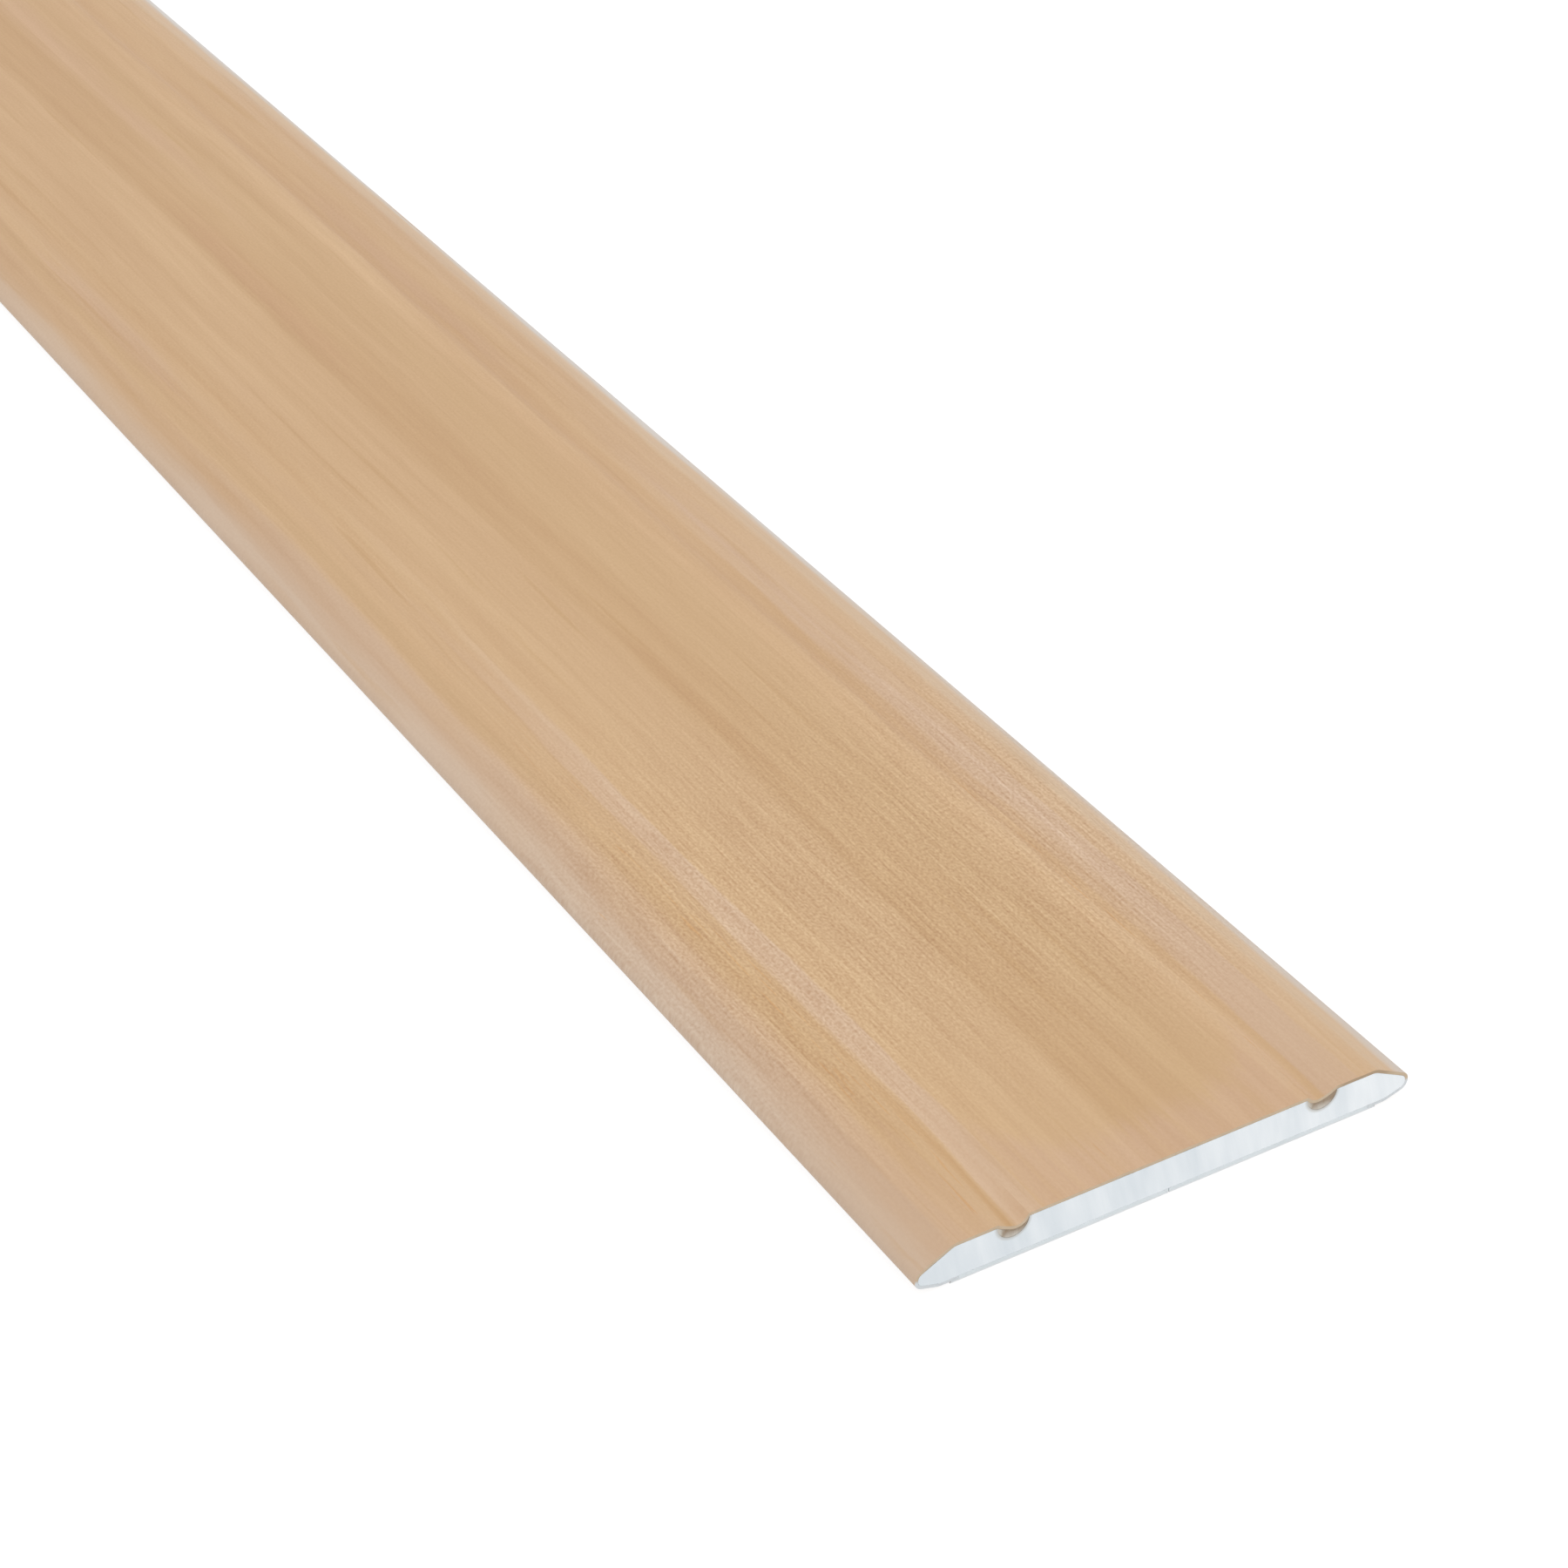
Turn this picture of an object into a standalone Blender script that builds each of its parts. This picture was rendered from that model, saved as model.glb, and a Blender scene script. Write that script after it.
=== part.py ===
"""Self-adhesive flat threshold strip.

An extruded aluminium bar with bevelled edges and two grooves in its top is wrapped in a wood-effect foil,
which laps round the long edges onto the underside. Two double-sided tapes run along the underside between
the foil's edges. Each is under its own release liner, which also covers the foil's edge beside it.

Metres, +Z up. +X runs along the strip and +Y across it. The origin is in the middle of the strip's
lowest plane, which the strip lies on.
"""

import math

import bmesh
import bpy
from mathutils import Matrix, Vector

MM = 0.001

# The whole strip
STRIP_LENGTH = 900 * MM
STRIP_WIDTH = 40 * MM  # over the foil, nose to nose

# Layers, from the top face down
FOIL_THICKNESS = 0.2 * MM
BAR_HEIGHT = 2.65 * MM
TAPE_THICKNESS = 0.2 * MM
LINER_THICKNESS = 0.1 * MM
GLUE_LINE = 0.05 * MM  # gap between two layers that are stuck together

# The bar's long edges, which are alike: a bevel above, an upright nose, and an undercut below
BEVEL_WIDTH = 2.7 * MM
NOSE_HEIGHT = 0.75 * MM  # before its corners are rounded
UNDERCUT_WIDTH = 1.7 * MM
UNDERCUT_RISE = 0.5 * MM
CROWN_RADIUS = 1.2 * MM  # where the top face turns into the bevel
NOSE_RADIUS = 0.48 * MM  # at both corners of the nose
HEEL_RADIUS = 1.5 * MM  # where the undercut turns into the underside

# The two grooves in the top face
GROOVE_INSET = 7.5 * MM  # from the strip's edge to the groove's middle
GROOVE_WIDTH = 2.5 * MM
GROOVE_DEPTH = 1.2 * MM
FOIL_DIP = 0.5 * MM  # how far the foil sags into a groove, over the dark space below it

# The underside
FOIL_LAP = 1.4 * MM  # foil on the flat underside, past the undercut
TAPE_SIDE_GAP = 0.35 * MM  # from the foil's edge to the tape
TAPE_MIDDLE_GAP = 0.4 * MM  # between the two tapes
LINER_MIDDLE_OVERHANG = 0.15 * MM  # liner past the tape towards the strip's middle
LINER_SIDE_OVERHANG = 1.0 * MM  # liner past the tape towards the strip's edge, over the foil's

# How finely round stretches are cut into flats, and the meshes made from them
CORNER_STEP = math.radians(9)
ARC_SHARE = 0.49  # of a straight stretch, for the arc at one end of it
GROOVE_STEPS = 20
CREASE_ANGLE = math.radians(30)  # edges that turn more than this stay sharp
WELD_DISTANCE = 0.001 * MM

# Places that follow from the sizes above; heights are above the plane that the strip lies on
FOIL_BUILD = GLUE_LINE + FOIL_THICKNESS
TAPE_BUILD = GLUE_LINE + TAPE_THICKNESS
UNDERSIDE_HEIGHT = LINER_THICKNESS + GLUE_LINE + max(FOIL_BUILD, TAPE_BUILD)
TOP_HEIGHT = UNDERSIDE_HEIGHT + BAR_HEIGHT
TAPE_HEIGHT = UNDERSIDE_HEIGHT - TAPE_BUILD
BAR_HALF_WIDTH = STRIP_WIDTH / 2 - FOIL_BUILD
BEVEL_DROP = BAR_HEIGHT - NOSE_HEIGHT - UNDERCUT_RISE
FOIL_EDGE = BAR_HALF_WIDTH - UNDERCUT_WIDTH - FOIL_LAP
GROOVE_MIDDLE = STRIP_WIDTH / 2 - GROOVE_INSET
TAPE_OUTER_EDGE = FOIL_EDGE - TAPE_SIDE_GAP
TAPE_INNER_EDGE = TAPE_MIDDLE_GAP / 2
LINER_OUTER_EDGE = TAPE_OUTER_EDGE + LINER_SIDE_OVERHANG
LINER_INNER_EDGE = TAPE_INNER_EDGE - LINER_MIDDLE_OVERHANG

# An extruded outline is drawn in its own XY plane; this turns it to lie across the strip, along +X
ACROSS_THE_STRIP = (math.radians(90), 0, math.radians(90))


def clear_scene():
    for old in list(bpy.data.objects):
        bpy.data.objects.remove(old, do_unlink=True)


def make_collection(name):
    collection = bpy.data.collections.new(name)
    bpy.context.scene.collection.children.link(collection)
    return collection


def make_material(name, colour, roughness, metallic=0.0):
    material = bpy.data.materials.new(name)
    material.use_nodes = True
    shader = material.node_tree.nodes["Principled BSDF"]
    shader.inputs["Base Color"].default_value = (*colour, 1.0)
    shader.inputs["Roughness"].default_value = roughness
    shader.inputs["Metallic"].default_value = metallic
    return material


def round_corner(before, corner, after, radius):
    """Points of the arc that rounds the corner between two straight stretches of an outline.

    The arc takes at most its share of the shorter stretch, so that two arcs on one stretch can't meet.
    """
    before, corner, after = Vector(before), Vector(corner), Vector(after)
    back = (before - corner).normalized()
    ahead = (after - corner).normalized()
    half_angle = back.angle(ahead) / 2
    room = ARC_SHARE * min((before - corner).length, (after - corner).length)
    radius = min(radius, room * math.tan(half_angle))
    centre = corner + (back + ahead).normalized() * radius / math.sin(half_angle)
    spoke = corner + back * radius / math.tan(half_angle) - centre
    turn = math.copysign(math.pi - 2 * half_angle, ahead.cross(back))
    steps = max(2, math.ceil(abs(turn) / CORNER_STEP))
    return [(centre + Matrix.Rotation(turn * step / steps, 2) @ spoke)[:] for step in range(steps + 1)]


def edge_corners(offset):
    """The corners of one long edge, from the underside to the top face, each (across, up, radius).

    They lie offset outside the bar: 0 gives the bar's own edge, and the foil's inner face is a glue line out.
    """
    bottom = UNDERSIDE_HEIGHT - offset
    nose = BAR_HALF_WIDTH + offset
    top = TOP_HEIGHT + offset
    undercut_slope = UNDERCUT_RISE / UNDERCUT_WIDTH
    bevel_slope = BEVEL_DROP / BEVEL_WIDTH
    undercut_drop = offset * math.hypot(1, undercut_slope)  # the offset, measured straight down
    bevel_lift = offset * math.hypot(1, bevel_slope)  # the offset, measured straight up
    nose_low = UNDERSIDE_HEIGHT + UNDERCUT_RISE + offset * undercut_slope - undercut_drop
    nose_high = TOP_HEIGHT - BEVEL_DROP - offset * bevel_slope + bevel_lift
    return [
        (nose - (nose_low - bottom) / undercut_slope, bottom, HEEL_RADIUS + offset),
        (nose, nose_low, NOSE_RADIUS + offset),
        (nose, nose_high, NOSE_RADIUS + offset),
        (nose - (top - nose_high) / bevel_slope, top, CROWN_RADIUS + offset),
    ]


def edge_path(start, end, offset):
    """One long edge's outline from start, on the underside, to end, on the top face, its corners rounded."""
    corners = edge_corners(offset)
    stops = [start, *[(across, up) for across, up, _ in corners], end]
    path = [start]
    for index, (across, up, radius) in enumerate(corners):
        path += round_corner(stops[index], (across, up), stops[index + 2], radius)
    return path


def groove_path():
    """The groove's arc in the bar, from its outer lip to its inner lip."""
    half = GROOVE_WIDTH / 2
    radius = (half**2 + GROOVE_DEPTH**2) / (2 * GROOVE_DEPTH)
    centre_height = TOP_HEIGHT - GROOVE_DEPTH + radius
    lip_angle = math.atan2(TOP_HEIGHT - centre_height, half)
    sweep = math.pi + 2 * lip_angle
    angles = (lip_angle - sweep * step / GROOVE_STEPS for step in range(GROOVE_STEPS + 1))
    return [
        (GROOVE_MIDDLE + radius * math.cos(a), centre_height + radius * math.sin(a)) for a in angles
    ]


def dip_path(height):
    """The foil's soft dip over a groove, from the outer lip to the inner lip."""
    points = []
    for step in range(GROOVE_STEPS + 1):
        share = 1 - 2 * step / GROOVE_STEPS
        sag = FOIL_DIP * (1 + math.cos(math.pi * share)) / 2
        points.append((GROOVE_MIDDLE + share * GROOVE_WIDTH / 2, height - sag))
    return points


def bar_outline():
    """The bar's closed outline, anticlockwise from under the foil's edge."""
    groove = groove_path()
    half = [*edge_path((FOIL_EDGE, UNDERSIDE_HEIGHT), groove[0], 0.0), *groove]
    return half + mirrored(half)


def foil_path():
    """The foil's inner face, open, from its edge under one side over the top to its edge under the other."""
    dip = dip_path(TOP_HEIGHT + GLUE_LINE)
    half = [*edge_path((FOIL_EDGE, UNDERSIDE_HEIGHT - GLUE_LINE), dip[0], GLUE_LINE), *dip]
    return half + mirrored(half)


def mirrored(half):
    """The other half of an outline, in the order that carries on from this one."""
    return [(-across, up) for across, up in reversed(half)]


def drawn_out(name, outline, closed, collection):
    """A 2D curve drawn out along the whole strip: a solid if closed, otherwise an open surface."""
    curve = bpy.data.curves.new(name, "CURVE")
    curve.dimensions = "2D"
    curve.fill_mode = "BOTH" if closed else "NONE"
    curve.extrude = STRIP_LENGTH / 2
    spline = curve.splines.new("POLY")
    spline.points.add(len(outline) - 1)
    for point, (across, up) in zip(spline.points, outline, strict=True):
        point.co = (across, up, 0.0, 1.0)
    spline.use_cyclic_u = closed
    drawing = bpy.data.objects.new(name, curve)
    drawing.rotation_euler = ACROSS_THE_STRIP
    collection.objects.link(drawing)
    return drawing


def made_mesh(name, drawing, material, collection):
    """The drawing, with its modifiers, as a welded mesh that is smooth between its creases."""
    graph = bpy.context.evaluated_depsgraph_get()
    mesh = bpy.data.meshes.new_from_object(drawing.evaluated_get(graph))
    shape = bmesh.new()
    shape.from_mesh(mesh)
    bmesh.ops.remove_doubles(shape, verts=shape.verts, dist=WELD_DISTANCE)
    shape.to_mesh(mesh)
    shape.free()
    mesh.shade_smooth()
    mesh.set_sharp_from_angle(angle=CREASE_ANGLE)
    mesh.materials.clear()
    mesh.materials.append(material)
    piece = bpy.data.objects.new(name, mesh)
    piece.matrix_world = drawing.matrix_world
    collection.objects.link(piece)
    bpy.data.curves.remove(drawing.data)
    return piece


def band(name, inner, outer, thickness, material, collection):
    """A flat band along the whole strip, between two distances across it, its origin in the middle below."""
    mesh = bpy.data.meshes.new(name)
    shape = bmesh.new()
    size = Matrix.Diagonal((STRIP_LENGTH, abs(outer - inner), thickness, 1.0))
    bmesh.ops.create_cube(shape, size=1.0, matrix=Matrix.Translation((0.0, 0.0, thickness / 2)) @ size)
    shape.to_mesh(mesh)
    shape.free()
    mesh.materials.append(material)
    piece = bpy.data.objects.new(name, mesh)
    piece.location.y = (inner + outer) / 2
    collection.objects.link(piece)
    return piece


def build_bar(collection):
    aluminium = make_material("bar_metal", (0.80, 0.82, 0.84), 0.38, 1.0)
    drawing = drawn_out("bar_outline", bar_outline(), True, collection)
    return made_mesh("aluminium_bar", drawing, aluminium, collection)


def build_foil(collection):
    print_film = make_material("decor_foil", (0.62, 0.43, 0.27), 0.5)
    drawing = drawn_out("foil_outline", foil_path(), False, collection)
    film = drawing.modifiers.new("film", "SOLIDIFY")
    film.thickness = FOIL_THICKNESS
    film.offset = -1.0
    film.use_even_offset = True
    return made_mesh("woodgrain_foil", drawing, print_film, collection)


def build_tapes(collection):
    adhesive = make_material("tape_adhesive", (0.78, 0.78, 0.75), 0.6)
    release_film = make_material("liner_film", (0.86, 0.85, 0.80), 0.7)
    for side, sign in (("front", -1), ("rear", 1)):
        inner, outer = sign * TAPE_INNER_EDGE, sign * TAPE_OUTER_EDGE
        tape = band(f"adhesive_tape_{side}", inner, outer, TAPE_THICKNESS, adhesive, collection)
        tape.location.z = TAPE_HEIGHT
        inner, outer = sign * LINER_INNER_EDGE, sign * LINER_OUTER_EDGE
        band(f"release_liner_{side}", inner, outer, LINER_THICKNESS, release_film, collection)


def main():
    clear_scene()
    strip = make_collection("threshold_strip")
    build_bar(strip)
    build_foil(strip)
    build_tapes(strip)


main()
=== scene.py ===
"""Looks of the self-adhesive threshold strip: a foil-wrapped, sawn aluminium bar with tape and liners below.

Metres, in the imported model's frame: +X along the strip towards the end in view, +Y across it, +Z up.
"""

import math

import bpy
from mathutils import Matrix, Vector, noise


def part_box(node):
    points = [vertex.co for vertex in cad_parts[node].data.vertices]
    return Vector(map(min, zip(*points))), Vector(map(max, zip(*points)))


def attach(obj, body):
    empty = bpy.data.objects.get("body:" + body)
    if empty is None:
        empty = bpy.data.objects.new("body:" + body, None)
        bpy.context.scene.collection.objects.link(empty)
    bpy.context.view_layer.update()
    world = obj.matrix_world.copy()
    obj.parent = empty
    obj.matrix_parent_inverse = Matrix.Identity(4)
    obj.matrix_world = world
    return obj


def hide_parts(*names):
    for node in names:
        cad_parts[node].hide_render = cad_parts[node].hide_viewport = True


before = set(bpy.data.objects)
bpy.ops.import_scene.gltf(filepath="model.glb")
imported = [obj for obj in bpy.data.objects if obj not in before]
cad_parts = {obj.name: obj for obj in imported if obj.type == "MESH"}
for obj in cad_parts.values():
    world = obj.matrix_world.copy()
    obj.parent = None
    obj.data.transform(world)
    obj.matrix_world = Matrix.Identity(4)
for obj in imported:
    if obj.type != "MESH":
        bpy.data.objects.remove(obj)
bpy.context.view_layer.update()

MM = 0.001

# The bar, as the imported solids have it
BAR_LOW, BAR_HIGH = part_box("aluminium_bar")
FOIL_LOW, FOIL_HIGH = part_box("woodgrain_foil")
END_X = BAR_HIGH.x
HALF_WIDTH_MM = FOIL_HIGH.y / MM
BEVEL_WIDTH = 2.7 * MM
NOSE_HEIGHT = 0.75 * MM
UNDERCUT_WIDTH = 1.7 * MM
UNDERCUT_RISE = 0.5 * MM
CROWN_RADIUS = 1.2 * MM
NOSE_RADIUS = 0.48 * MM
HEEL_RADIUS = 1.5 * MM
ARC_SHARE = 0.49
GROOVE_MIDDLE = FOIL_HIGH.y - 7.5 * MM
GROOVE_WIDTH = 2.5 * MM
GROOVE_DEPTH = 1.2 * MM

# The foil: it sinks into the grooves a little, and further where the saw pressed on it
FOIL_GAP = 0.01 * MM
FOIL_THICKNESS = FOIL_HIGH.z - BAR_HIGH.z - FOIL_GAP
FOIL_LAP = 1.4 * MM
DIP_AT_END = {"front": 0.58 * MM, "rear": 0.46 * MM}
DIP_INSIDE = 0.2 * MM
DIP_SETTLES = 3.0 * MM
DIP_RIPPLE = 0.10
DIP_RIPPLE_PITCH = 35 * MM
DIP_ROUNDNESS = 0.8
DIP_SKEW = 0.5
END_FRAY = 0.05 * MM
END_FRAY_PITCH = 0.9 * MM

# The glue that fills the rest of each groove, set back from the sawn ends
GLUE_CLEARANCE = 0.01 * MM
GLUE_SET_BACK = 0.02 * MM
GLUE_MENISCUS = 0.12 * MM

# The layers underneath: each tape is squeezed up against the bar, towards the other tape, and out to the
# foil's edge and a little way under its lap
LAYER_WAVE = 0.05 * MM
LAYER_WAVE_PITCH = 14 * MM
LAYER_ROUND = 0.015 * MM
SQUEEZE_GAP = 0.01 * MM
TAPE_SEAM = 0.03 * MM
TAPE_LIP = 0.55 * MM

# How finely the pieces are drawn
CORNER_STEP = math.radians(4)
DIP_STEPS = 28
GROOVE_STEPS = 28
FLAT_STEP = 1.0 * MM
LENGTH_STEP = 4.0 * MM
STEPS_NEAR_END_MM = (0.0, 0.25, 0.7, 1.4, 2.5, 4.0, 6.0, 9.0, 12.5)
CREASE_ANGLE = math.radians(35)

# How much white the satin surface adds over the print at the camera's angle
GLOSS_VEIL = 0.06

# The print's display colours; the lines and stripes on the grooves' dips and the rear bevel's colours also
# hold painted shade and painted sheen
TAN = (209, 175, 138)
HEART = (204, 169, 131)
HEART_SIDE = (206, 172, 134)
ROSE = (206, 176, 149)
ROSE_EDGE = (208, 184, 162)
EDGE_LINE = (211, 179, 148)
# print line with painted shade on the front groove's dip slope that faces the rear
ORANGE_BROWN = (206, 171, 132)
ORANGE_LINE_AND_SHADE = (204, 167, 127)
# print stripe with painted sheen on the front groove's dip slope that faces the front
FRONT_LINE = (203, 169, 132)
PALE_PRINT_AND_SHEEN = (214, 183, 154)
HONEY = (212, 178, 140)
LIGHT_LINE = (212, 178, 141)
# print line with painted shade on the rear groove's dip slope that faces the rear
BROWN_LINE_AND_SHADE = (205, 170, 134)
# print stripe with painted sheen on the rear groove's dip slope that faces the front, and past it
LAVENDER_PRINT_AND_SHEEN = (209, 178, 150)
STRAW = (211, 179, 146)
# paler print with painted sheen on the rear bevel
REAR_BEVEL_PRINT_AND_SHEEN = (210, 181, 150)
# painted sheen along the rear bevel's rim
REAR_RIM_SHEEN = (209, 196, 184)
# painted sheen along the rear rim, further from the end in view
FAR_RIM_SHEEN = (216, 211, 206)
STREAK_COLOUR = (197, 160, 120)
FLECK_COLOUR = (208, 160, 110)
END_TINT = (209, 175, 146)
MAUVE_COLOUR = (208, 173, 143)

# Its stripes: (from, to, softness) across, in mm from the front edge; colour; (strength near the end in view,
# strength far from it); and how many mm from that end the one gives way to the other, which takes STRIPE_FADE
# to each side of there
STRIPES = [
    ((19.0, 28.5, 3.5), HEART_SIDE, (1.0, 1.0), 400),
    ((18.9, 23.5, 2.6), HEART, (1.0, 1.0), 400),
    ((-9.0, 3.4, 1.2), ROSE, (1.0, 0.3), 110),
    ((-9.0, 1.4, 1.8), ROSE_EDGE, (1.0, 0.9), 110),
    ((3.0, 4.2, 0.6), EDGE_LINE, (1.0, 0.0), 60),
    ((4.8, 7.3, 0.6), ORANGE_BROWN, (1.0, 0.0), 50),
    # painted shade on the front groove's dip slope that faces the rear, over a print line
    ((6.7, 7.4, 0.3), ORANGE_LINE_AND_SHADE, (1.0, 0.0), 22),
    ((3.6, 5.0, 0.7), FRONT_LINE, (0.0, 1.0), 42),
    ((9.6, 12.5, 1.4), HONEY, (1.0, 0.0), 75),
    # painted sheen on the front groove's dip slope that faces the front, over a print stripe
    ((7.65, 9.6, 0.4), PALE_PRINT_AND_SHEEN, (1.0, 0.0), 72),
    ((29.6, 31.5, 0.8), LIGHT_LINE, (1.0, 0.6), 150),
    # painted shade on the rear groove's dip slope that faces the rear, over a print line
    ((31.5, 32.3, 0.4), BROWN_LINE_AND_SHADE, (0.5, 1.0), 12),
    # painted sheen on the rear groove's dip slope that faces the front, over a print stripe
    ((32.4, 35.6, 0.4), LAVENDER_PRINT_AND_SHEEN, (1.0, 0.1), 90),
    # painted shade along the rear groove's dip further from the end in view, over a print line
    ((31.8, 33.2, 0.5), BROWN_LINE_AND_SHADE, (0.0, 1.0), 38),
    ((35.6, 37.0, 0.6), STRAW, (1.0, 1.0), 400),
    # painted sheen on the rear bevel over its print, and more painted sheen on its rim
    ((37.0, 44.0, 1.0), REAR_BEVEL_PRINT_AND_SHEEN, (1.0, 1.0), 400),
    ((38.8, 40.3, 1.2), REAR_RIM_SHEEN, (1.0, 1.0), 400),
    ((39.0, 40.3, 1.0), FAR_RIM_SHEEN, (0.0, 0.85), 65),
]
STRIPE_FADE = 30

# Its single marks: (middle, width) across, in mm from the front edge; (from, to) along, in mm from the end in
# view; colour; and strength. A mark is full up to MARK_CORE of its width from its middle and gone at
# MARK_REACH of it, and each of its ends fades over MARK_FADE
MARKS = [
    ((19.2, 0.8), (2, 48), (199, 163, 125), 0.6),
    ((19.8, 1.5), (50, 76), (198, 161, 123), 0.7),
    ((20.4, 2.4), (128, 162), (201, 162, 128), 0.45),
    ((33.2, 1.4), (118, 160), (201, 166, 136), 0.6),
    ((34.2, 0.5), (24, 94), (214, 184, 158), 0.6),
    ((6.0, 2.4), (136, 160), (209, 176, 146), 0.7),
    ((5.2, 2.8), (-20, 8), (211, 178, 147), 0.6),
]
MARK_FADE = 14
MARK_CORE = 0.15
MARK_REACH = 0.75

# The pinkish tint that arches across the strip at the end in view, in mm: its middle from the front edge, how
# far it spreads to each side, its depth from the end, how much deeper its sides lie, and over what it fades;
# its sides fade over a share of the spread
TINT_MIDDLE = 20.7
TINT_HALF_WIDTH = 10.8
TINT_DEPTH = 4.0
TINT_ARCH = 6.0
TINT_FRAY = 5.0
TINT_FADE = (-1.8, 1.4)
TINT_SIDES_FADE = (0.96, 1.04)

# Where the mauve patches set in, and where the flecks thin out, in mm from the end in view
MAUVE_SETS_IN = (110.0, 160.0)
FLECKS_THIN_OUT = (35.0, 75.0)

# Where flecks gather, in mm: (middle of the stripe, thickest within, no more past)
FLECK_STRIPES = ((6.0, 0.9, 1.4), (31.7, 0.2, 0.6))

# How far the print's lines wander to the side, and how uneven the ends of its stripes and marks are, in mm
WANDER_REACH = 2.2
STRIPE_END_REACH = 50.0
MARK_END_REACH = 24.0

# The print's noises: how far their features lie apart (along, across) in mm, seed, octaves and roughness
WANDER = ((60.0, 12.0), 3.0, 2.0, 0.5)
FRAY = ((12.0, 0.7), 7.0, 3.0, 0.6)
STRIPE_PATCHES = ((26.0, 2.6), 71.0, 2.0, 0.5)
STRIPE_ENDS = ((30.0, 1.6), 31.0, 2.0, 0.5)
MARK_ENDS = ((14.0, 0.5), 37.0, 2.0, 0.5)
END_TINT_PATCHES = ((40.0, 1.3), 83.0, 2.0, 0.5)
MAUVE_PATCHES = ((60.0, 7.0), 61.0, 2.0, 0.5)
STREAKS = ((34.0, 1.0), 43.0, 1.0, 0.5)
FLECKS = ((5.0, 0.22), 53.0, 1.0, 0.5)
BROAD = ((60.0, 1.7), 11.0, 2.0, 0.5)
STRANDS = ((70.0, 1.0), 67.5, 1.0, 0.5)
FIBRES = ((30.0, 0.40), 17.0, 3.0, 0.7)
HAIRS = ((5.0, 0.20), 23.0, 1.0, 0.5)
GRAIN = ((0.30, 0.20), 29.0, 1.0, 0.5)

# How strongly the noises tone the print; a pair is near the end in view and far from it, and the pair of
# places after it is where it changes, in mm from that end
FIBRE_TONE = 0.58
HAIR_TONE = 0.50
GRAIN_TONE = 0.85
BROAD_TONE = (0.20, 0.36)
BROAD_GROWS = (45.0, 85.0)
STRAND_TONE = (0.26, 0.12)
STRANDS_FADE = (6.0, 26.0)
GROUND_TONE = (0.0, -0.045)
GROUND_DARKENS = (80.0, 125.0)
TONE_OF_RED_GREEN_BLUE = (0.55, 0.82, 1.05)

# The fine figure's strength: soft at the sawn end, crisp after it, soft again, and livelier on the rest of
# the strip; calmer on the bevels. Places are in mm from the end in view, for the bevels from the long edges
FINE_AT_END = 0.2
FINE_RISES = (4.0, 28.0)
FINE_CRISP = 1.15
FINE_FALLS = (38.0, 72.0)
FINE_SOFT = 0.28
FINE_RETURNS = (240.0, 330.0)
FINE_BEYOND = 0.8
FINE_ON_BEVELS = 0.6
BEVEL_FROM_EDGE = (3.5, 1.5)
EMBOSS_DEPTH = 0.04 * MM
BUMP_STRENGTH = 0.5

# The noises of the other surfaces, in the same way but on three axes: mostly x, y and z, but across the end
# face and up it for the saw's, and along the strip and across it for the die's
FILM_CLOUD = ((0.5, 0.5, 0.5), 2.0, 2.0, 0.5)
SAW_PATCHES = ((1.9, 9.0, 1.0), 1.0, 2.0, 0.6)
SAW_MARKS = ((0.22, 4.0, 1.0), 5.0, 2.0, 0.5)
DIE_LINES = ((160.0, 0.14, 1.0), 9.0, 2.0, 0.5)
HANDLING = ((14.0, 6.0, 6.0), 15.0, 2.0, 0.5)
GLUE_CLOUD = ((0.7, 0.3, 0.6), 4.0, 2.0, 0.5)
GLUE_LUMPS = ((0.2, 0.2, 0.2), 8.0, 2.0, 0.5)
TAPE_WETTING = ((9.0, 4.0, 4.0), 2.0, 3.0, 0.6)
TAPE_RIPPLES = ((1.2, 0.8, 1.0), 6.0, 2.0, 0.5)
PAPER_MOTTLE = ((1.6, 1.3, 1.0), 3.0, 3.0, 0.6)
PAPER_FELT = ((0.35, 0.25, 0.3), 5.0, 2.0, 0.5)
PAPER_CREASES = ((3.0, 40.0, 1.0), 12.0, 1.0, 0.5)

# The depth of each surface's relief, and where the film and the glue change colour, in mm: the film by the
# place across and up, the glue by the depth under the bar's top and the place beside the groove's middle
METAL_RELIEF = 0.008 * MM
GLUE_RELIEF = 0.05 * MM
TAPE_RELIEF = 0.02 * MM
PAPER_RELIEF = 0.03 * MM
# where painted shade darkens the foil's cut edge
EDGE_SHADE_ACROSS = (13.4, 14.6)
EDGE_SHADE_UP = (2.2, 3.0)
WIPED_BELOW = (1.5, 1.15)
GLUE_LIGHTER_BELOW = (0.6, 1.25)
GLUE_LIGHTER_BESIDE = (-1.2, -0.55)

# The other display colours; a pair is the darkest and the lightest of a mottled surface
FOIL_CREAM = ((200, 176, 146), (216, 194, 166))
FOIL_EDGE_SHADE = (150, 118, 84)
FOIL_WIPED = ((214, 218, 220), (232, 236, 238))
CUT_METAL = ((224, 231, 236), (250, 253, 255))
DRAWN_METAL = ((196, 199, 202), (222, 224, 226))
GLUE_ON_METAL = (196, 191, 181)
GLUE = ((162, 140, 116), (210, 202, 190))
TAPE = ((224, 231, 233), (240, 245, 247))
LINER = ((232, 234, 234), (246, 247, 247))

# The sawn end: how deep its face is, how far the saw marks lean across for each mm up, how far glue is
# smeared past a groove, and how the haze grows lighter across the strip
END_FACE_MM = 0.05
SAW_LEAN = 0.25
SMEAR_REACH_MM = 0.3
HAZE = 0.55
HAZE_PER_MM = 0.012

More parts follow.
